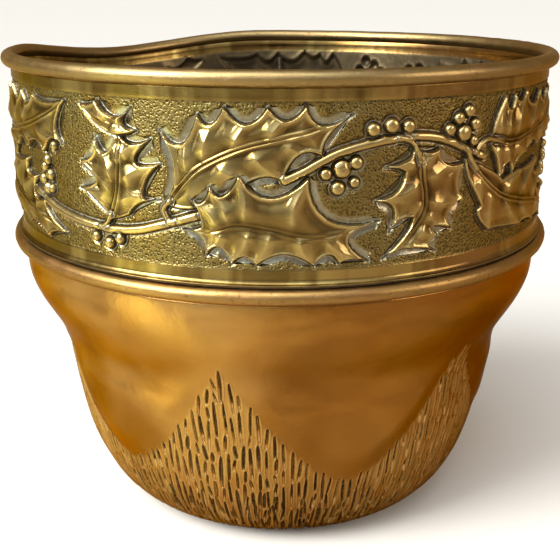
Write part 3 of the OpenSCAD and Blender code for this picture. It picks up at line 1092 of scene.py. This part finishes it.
def band_finish():
    """Embossed brass: gold on the leaves, olive on the ground, pale polish residue in the pockets and
    grime in the tight lines."""
    f = Finish("embossed_brass", Specular_Tint=(0.85, 0.66, 0.38, 1))
    ground, pocket, dirt, polish = (f.kept(key) for key in ("ground", "pocket", "grime", "polish"))
    shade, plain = f.kept("shade"), f.kept("plain")
    cloud, speck = f.noise(0.045, 4), f.noise(0.9, 4, 0.65)
    # the metal: gold or olive, rosy in clouds, browner in level bands on the plain strips, with painted
    # reflections as pale upright bars on them, and a painted warm reflection that makes it redder to the right
    colour = f.mix(ground, GOLD, OLIVE)
    colour = f.mix(f.between(cloud, 0.42, 0.66), colour, f.mix(ground, ROSY, (0.26, 0.185, 0.055)))
    colour = f.mix(f.between(f.noise(0.16, 5, 0.6), 0.45, 0.75, 0, 0.5), colour, (0.27, 0.18, 0.06))
    bands = f.between(f.noise(0.5, 4, 0.6, (0.12, 0.12, 1.0)), 0.35, 0.65, 0.45, 0.95)
    colour = f.mix(f.times(plain, bands), colour, (0.17, 0.11, 0.032))
    # pale upright bars on the plain strips: painted reflections of a window
    bright = f.between(f.noise(0.05, 3, 0.6, (1.0, 1.0, 0.1)), 0.5, 0.62, 0, 0.75)
    colour = f.mix(f.times(plain, bright), colour, (0.52, 0.40, 0.15))
    # redder to the right: a painted warm reflection, which also thins the pale residue there
    redder = f.between(f.plus(f.axis(0), f.between(f.noise(0.03, 3), 0.3, 0.7, -50, 50)), 0, 110)
    warm_reflection = f.mix(ground, (0.40, 0.22, 0.08), (0.24, 0.16, 0.045))
    colour = f.mix(f.times(redder, 0.75), colour, warm_reflection)
    # the relief: painted shade, partly tarnish, in its hollows, a painted highlight, partly rubbed wear, on its
    # ridges, and pale rubbing on its high spots
    colour = f.mix(f.between(shade, 0.0, 0.45, 0, 0.9), colour, (0.075, 0.045, 0.014))
    colour = f.mix(f.between(shade, -0.1, -0.7, 0, 0.6), colour, (0.58, 0.45, 0.19))
    colour = f.mix(f.between(polish, 0.1, 0.9, 0, 0.6), colour, (0.66, 0.52, 0.24))
    # the ground's punch marks, the dried polish and the black lines
    punched = f.cells(1.1)
    pits = f.times(ground, f.between(punched, 0.22, 0.55, 0.95, 0))
    colour = f.mix(pits, colour, (0.05, 0.036, 0.013))
    patchy = f.between(f.noise(0.35, 4, 0.6), 0.3, 0.6, 0.35, 1)
    patchy = f.times(patchy, f.between(redder, 0, 1, 1, 0.4))
    residue = f.times(f.between(pocket, 0.25, 0.8), patchy)
    colour = f.mix(f.times(residue, 0.9), colour, RESIDUE)
    dark = f.between(f.plus(dirt, f.between(speck, 0.35, 0.75, -0.18, 0.18)), 0.3, 0.85)
    colour = f.mix(dark, colour, GRIME)
    # rougher on the ground and in the grime
    rough = f.between(f.noise(0.3, 4), 0.3, 0.7, 0.17, 0.28)
    rough = f.plus(rough, f.times(dark, 0.3))
    rough = f.plus(rough, f.times(ground, 0.14))
    fine = f.relief(f.times(ground, f.between(punched, 0.15, 0.6)), 0.15)
    rub = f.relief(f.noise(1.1, 3, 0.6, (0.25, 0.25, 1.6)), 0.02, fine)
    return f.done(colour, rough, f.between(dark, 0.2, 1.0, 1.0, 0.75), rub)


def inside_finish(name, light, dark_colour):
    """The unpolished inside: brown tarnish in clouds, with water marks and dark specks."""
    f = Finish(name)
    cloud = f.between(f.noise(0.05, 5, 0.62), 0.35, 0.7)
    colour = f.mix(cloud, dark_colour, light)
    colour = f.mix(f.between(f.noise(0.4, 4, 0.7), 0.5, 0.75, 0, 0.7), colour, (0.05, 0.035, 0.02))
    colour = f.mix(f.between(f.cells(0.12), 0.0, 0.35, 0.35, 0), colour, (0.16, 0.15, 0.12))
    bumps = f.relief(f.noise(0.8, 4, 0.6), 0.06)
    return f.done(colour, f.between(cloud, 0, 1, 0.55, 0.4), 0.85, bumps)


embossed_brass = band_finish()
inside_band = inside_finish("tarnished_inside_band", (0.20, 0.15, 0.075), (0.07, 0.052, 0.03))
inside_bowl = inside_finish("tarnished_inside_bowl", (0.22, 0.14, 0.06), (0.07, 0.045, 0.025))
print("finishes for the band and the insides")

# %% [markdown]
# ## Brass of the rim and the bead
#
# The rolled edges are the parts that are held and knocked. Their brass is rubbed to a dull rosy tan,
# with tiny scratches that run round the pot and brown left only in small dents.

# %% Rolled edge finish
def edge_finish(name, rubbed, worn_through):
    """Rubbed brass: two tints by wear, fine scratches round the pot, small brown dents."""
    f = Finish(name, Specular_Tint=(0.85, 0.62, 0.36, 1))
    worn = f.kept("worn")
    cloud = f.noise(0.12, 4, 0.6)
    tint = f.between(f.plus(f.times(worn, 0.6), f.times(cloud, 0.6)), 0.4, 0.9)
    colour = f.mix(tint, rubbed, worn_through)
    scratch = f.noise(0.9, 4, 0.7, (0.35, 0.35, 3.2))
    colour = f.mix(f.between(scratch, 0.56, 0.72, 0, 0.55), colour, (0.70, 0.52, 0.27))
    spot = f.between(f.noise(0.5, 5, 0.7), 0.58, 0.72)
    colour = f.mix(f.times(spot, 0.8), colour, (0.10, 0.06, 0.025))
    rough = f.plus(f.between(cloud, 0.3, 0.7, 0.3, 0.42), f.times(spot, 0.2))
    bumps = f.relief(scratch, 0.03, f.relief(f.noise(0.7, 4, 0.65), 0.06))
    return f.done(colour, rough, 1.0, bumps)


rim_brass = edge_finish("rubbed_rim_brass", (0.38, 0.28, 0.125), (0.37, 0.245, 0.11))
bead_brass = edge_finish("rubbed_bead_brass", (0.40, 0.25, 0.088), (0.42, 0.235, 0.09))
print("finishes for the rolled edges")

# %% [markdown]
# ## Brass of the bowl
#
# The bowl is a redder brass, nearly amber, polished by many years of rubbing. Its lobes are smooth, with
# broad soft clouds and hair-fine scratches. The chased part is the same metal, but its grooves keep
# their dark lining.

# %% Bowl finish
def bowl_finish():
    """Amber brass with soft clouds and hair scratches, and dark lining in the strokes."""
    f = Finish("amber_bowl_brass", Specular_Tint=(0.80, 0.46, 0.16, 1))
    # the metal: two ambers in clouds, a painted highlight that makes it paler to the left, painted
    # shade that makes it darker and redder to the right, and redder and darker low down
    chased, dirt = f.kept("chased"), f.kept("grime")
    cloud, speck = f.noise(0.02, 2), f.noise(0.8, 4, 0.65)
    colour = f.mix(f.between(cloud, 0.36, 0.64), (0.46, 0.235, 0.056), (0.325, 0.15, 0.033))
    colour = f.mix(f.between(f.noise(0.06, 3, 0.5), 0.5, 0.72, 0, 0.5), colour, (0.38, 0.165, 0.03))
    colour = f.mix(f.times(chased, 0.5), colour, (0.66, 0.40, 0.125))
    low = f.plus(f.axis(2), f.between(f.noise(0.08, 3), 0.3, 0.7, -14, 14))
    low = f.times(chased, f.between(low, 42, 8, 0, 0.75))
    # painted light across the bowl: a painted highlight to the left and painted shade to the right
    painted_light_side = f.plus(f.axis(0), f.between(f.noise(0.025, 2), 0.3, 0.7, -40, 40))
    colour = f.mix(f.between(painted_light_side, -10, -90, 0, 0.6), colour, (0.72, 0.46, 0.19))
    colour = f.mix(f.between(painted_light_side, 10, 100, 0, 0.6), colour, (0.40, 0.15, 0.018))
    colour = f.mix(low, colour, (0.34, 0.135, 0.025))
    # painted glints at the feet of the strokes, and lips painted pale as rubbed wear and painted highlight
    colour = f.mix(f.between(f.kept("polish"), 0.1, 1.0, 0, 0.85), colour, (0.86, 0.68, 0.36))
    # what wear and grime add: hair scratches, brown spots and the lining of the strokes
    hair = f.noise(0.7, 4, 0.75, (0.5, 0.5, 3.5))
    colour = f.mix(f.between(hair, 0.6, 0.75, 0, 0.3), colour, (0.75, 0.5, 0.2))
    spot = f.between(f.noise(0.2, 4, 0.7), 0.72, 0.8)
    colour = f.mix(f.times(spot, 0.6), colour, (0.20, 0.09, 0.025))
    colour = f.mix(f.between(dirt, 0.1, 0.5, 0, 0.8), colour, (0.22, 0.17, 0.07))
    dark = f.between(f.plus(dirt, f.between(speck, 0.35, 0.7, -0.4, 0.3)), 0.4, 0.9)
    colour = f.mix(dark, colour, (0.045, 0.032, 0.014))
    # polished, with a rubbed, struck and scratched surface
    rough = f.between(f.noise(0.2, 4, 0.6), 0.3, 0.7, 0.16, 0.27)
    rough = f.plus(rough, f.times(dark, 0.08))
    rubbed = f.relief(f.noise(0.07, 3, 0.5), 0.5)
    struck = f.relief(f.times(chased, f.noise(0.9, 4, 0.7)), 0.3, rubbed)
    bumps = f.relief(hair, 0.014, f.relief(f.noise(0.5, 3, 0.6), 0.035, struck))
    return f.done(colour, rough, f.between(dark, 0.2, 1.0, 1.0, 0.85), bumps)


amber_brass = bowl_finish()

# %% [markdown]
# ## Solder and wire
#
# Inside the pot a grey fillet of soft solder joins bowl and band, and another runs down the band's
# seam. Solder is dull, lumpy and a little oxidised. The wires inside the rolls are plain iron.

# %% Solder and wire finishes
def plain_metal(name, light, dark_colour, rough):
    """A dull metal in two cloudy tints with shallow lumps."""
    f = Finish(name)
    colour = f.mix(f.between(f.noise(0.35, 5, 0.65), 0.35, 0.7), dark_colour, light)
    bumps = f.relief(f.noise(0.5, 4, 0.6), 0.15)
    return f.done(colour, f.between(f.noise(0.9, 3), 0.3, 0.7, rough - 0.08, rough + 0.1), 0.9, bumps)


solder_grey = plain_metal("soft_solder", (0.19, 0.175, 0.15), (0.085, 0.075, 0.06), 0.5)
solder_brown = plain_metal("tarnished_solder", (0.13, 0.11, 0.08), (0.06, 0.045, 0.03), 0.6)
iron_grey = plain_metal("iron_wire", (0.17, 0.15, 0.14), (0.09, 0.06, 0.045), 0.55)

# %% Give every surface its finish
for panel in band_panels:
    panel.data.materials.append(embossed_brass)
    panel.data.materials.append(inside_band)
    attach(panel, "root")
    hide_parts("frieze_band")
for sector in bowl_sectors:
    sector.data.materials.append(amber_brass)
    sector.data.materials.append(inside_bowl)
    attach(sector, "root")
    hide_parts("bowl")
for piece, finish, slot, node in (
    (rolled_rim, rim_brass, "band_brass", "frieze_band"),
    (bead_roll, bead_brass, "bowl_brass", "bowl"),
    (bowl_floor, amber_brass, "bowl_brass", "bowl"),
):
    piece.data.materials.append(finish)
    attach(piece, "root")
    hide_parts(node)
bowl_floor.data.materials.append(inside_bowl)
for node, finish in (("rim_wire", iron_grey), ("bead_wire", iron_grey),
                     ("seam_solder", solder_brown), ("joint_solder", solder_grey)):
    for place_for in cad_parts[node].material_slots:
        place_for.material = finish

# %% [markdown]
# ## The floor
#
# Metal shows what stands round it, so the room is half of the finish. The wall of the pot mirrors the
# floor in front of it. To the eye this floor is plain and pale. Rays that come off metal see a painted
# reflection: the floor darker and warmer, most of all to the right, with painted soft shadows and one
# painted bright strip, like the light a window would throw on it.

# %% Studio floor
FLOOR_REACH = 60.0         # metres from the middle to each side
STRIP_WAY = (0.894, 0.447)  # the bright strip runs this way over the floor
STRIP_OFFSET = 71           # and passes the middle of the pot at this distance, in mm


def floor_finish():
    """A matt pale floor with another colour for mirrored rays: the strip is where the distance across
    it, plus a share of the distance along it, is small."""
    f = Finish("pale_floor")
    mirrored = f.tree.nodes.new("ShaderNodeLightPath").outputs["Is Glossy Ray"]
    reflected = f.mix(f.between(f.axis(0), -500, 500), (0.60, 0.58, 0.42), (0.38, 0.26, 0.15))
    aside = f.plus(f.times(f.axis(0), -STRIP_WAY[1]), f.times(f.axis(1), STRIP_WAY[0]))
    outwards = f.plus(f.times(f.axis(0), STRIP_WAY[0]), f.times(f.axis(1), STRIP_WAY[1]))
    off_strip = f.plus(f.calc("ABSOLUTE", f.plus(aside, STRIP_OFFSET)), f.times(outwards, 0.12))
    strip = f.times(f.between(off_strip, 55, -10), f.between(outwards, -60, -250))
    # painted shadows and a painted strip of light, seen only in reflections
    painted_shadows = f.between(f.noise(0.007, 2), 0.35, 0.65, 0, 0.7)
    reflected = f.mix(painted_shadows, reflected, (0.16, 0.12, 0.08))
    reflected = f.mix(strip, reflected, (1.0, 0.98, 0.45))
    return f.done(f.mix(mirrored, (0.86, 0.85, 0.83), reflected), 0.9)


floor_mesh = bpy.data.meshes.new("studio_floor")
corners = [(-FLOOR_REACH, -FLOOR_REACH, 0), (FLOOR_REACH, -FLOOR_REACH, 0),
           (FLOOR_REACH, FLOOR_REACH, 0), (-FLOOR_REACH, FLOOR_REACH, 0)]
floor_mesh.from_pydata(corners, [], [(0, 1, 2, 3)])
studio_floor = shown("studio_floor", floor_mesh)
floor_mesh.materials.append(floor_finish())
print("floor:", studio_floor.name)

# %% [markdown]
# ## The sky
#
# The room above the pot is dim and warm, with one soft bright window high on the left and in front. It
# puts the silver lights on every slope that faces up to it. How bright the sky is in a direction
# follows from the cosine between that direction and the window's. The camera itself sees plain white.

# %% Sky with one soft window
WINDOW = (-0.36, -0.46, 0.81)
WINDOW_EDGE = (0.42, 0.92)  # cosines where the window starts and where it is full
ROOM_COLOUR = (0.28, 0.22, 0.16, 1)
WINDOW_COLOUR = (1.05, 1.1, 1.1, 1)
BACKDROP = (0.97, 0.965, 0.96, 1)


def studio_sky():
    """The world: room and window for the metal, a plain backdrop for the camera."""
    world = bpy.data.worlds.new("studio")
    world.use_nodes = True
    sky, link = world.node_tree.nodes, world.node_tree.links.new
    facing = sky.new("ShaderNodeVectorMath")
    facing.operation = "DOT_PRODUCT"
    facing.inputs[1].default_value = WINDOW
    link(sky.new("ShaderNodeTexCoord").outputs["Generated"], facing.inputs[0])
    share = sky.new("ShaderNodeMapRange")
    share.interpolation_type = "SMOOTHSTEP"
    share.inputs["From Min"].default_value, share.inputs["From Max"].default_value = WINDOW_EDGE
    link(facing.outputs["Value"], share.inputs["Value"])
    glow = sky.new("ShaderNodeMix")
    glow.data_type = "RGBA"
    glow.inputs[6].default_value = ROOM_COLOUR
    glow.inputs[7].default_value = WINDOW_COLOUR
    link(share.outputs[0], glow.inputs[0])
    dim, pale = sky["Background"], sky.new("ShaderNodeBackground")
    link(glow.outputs[2], dim.inputs["Color"])
    pale.inputs["Color"].default_value = BACKDROP
    pale.inputs["Strength"].default_value = 0.95
    either = sky.new("ShaderNodeMixShader")
    link(sky.new("ShaderNodeLightPath").outputs["Is Camera Ray"], either.inputs[0])
    link(dim.outputs[0], either.inputs[1])
    link(pale.outputs[0], either.inputs[2])
    link(either.outputs[0], sky["World Output"].inputs["Surface"])
    return world


bpy.context.scene.world = studio_sky()
print("sky:", bpy.context.scene.world.name)

# %% [markdown]
# ## Lights and camera
#
# A low sun as soft as a bright cloud gives the shadow on the right. Four square lights give the long
# highlights: two on the left, one overhead and a warm one on the right that fills the shade. The camera
# stands a little above the rim and looks down at the bowl.

# %% Lights and camera
SUN_HEIGHT, SUN_FROM = 42.0, -62.0
CAMERA_AT = (0, -0.4294, 0.2335)
CAMERA_DOWN = 17.97


def soft_light(name, at, towards, size, watts, tint=(1, 1, 1)):
    """A square soft light that faces a point."""
    data = bpy.data.lights.new(name, "AREA")
    data.size = size
    data.energy = watts
    data.color = tint
    light = shown(name, data)
    light.location = at
    way = np.array(towards) - np.array(at)
    light.rotation_euler = (math.atan2(math.hypot(way[0], way[1]), -way[2]), 0,
                            math.atan2(way[1], way[0]) - math.pi / 2)


sun_data = bpy.data.lights.new("soft_sun", "SUN")
sun_data.energy = 2.5
sun_data.angle = math.radians(40)
sun_data.color = (1.0, 0.985, 0.95)
sun = shown("soft_sun", sun_data)
sun.rotation_euler = (math.radians(90 - SUN_HEIGHT), 0, math.radians(SUN_FROM))
soft_light("key_left", (-1.0, -0.65, 0.75), (0, 0, 0.1), 0.6, 5, (1.0, 0.98, 0.94))
soft_light("near_left", (-0.55, -0.5, 0.5), (-0.1, -0.1, 0.1), 0.35, 3.2, (1.0, 0.98, 0.90))
soft_light("overhead", (-0.2, -0.9, 1.7), (0, 0, 0.1), 1.0, 8)
soft_light("fill_right", (1.2, -0.6, 0.6), (0, 0, 0.1), 0.7, 4.5, (1.0, 0.85, 0.7))

camera_data = bpy.data.cameras.new("camera")
camera_data.lens = 60.3
camera_data.sensor_width = 36
camera = shown("camera", camera_data)
camera.location = CAMERA_AT
camera.rotation_euler = (math.radians(90 - CAMERA_DOWN), 0, 0)
bpy.context.scene.camera = camera
bpy.context.scene.view_settings.view_transform = "Standard"
print("camera:", camera.name)
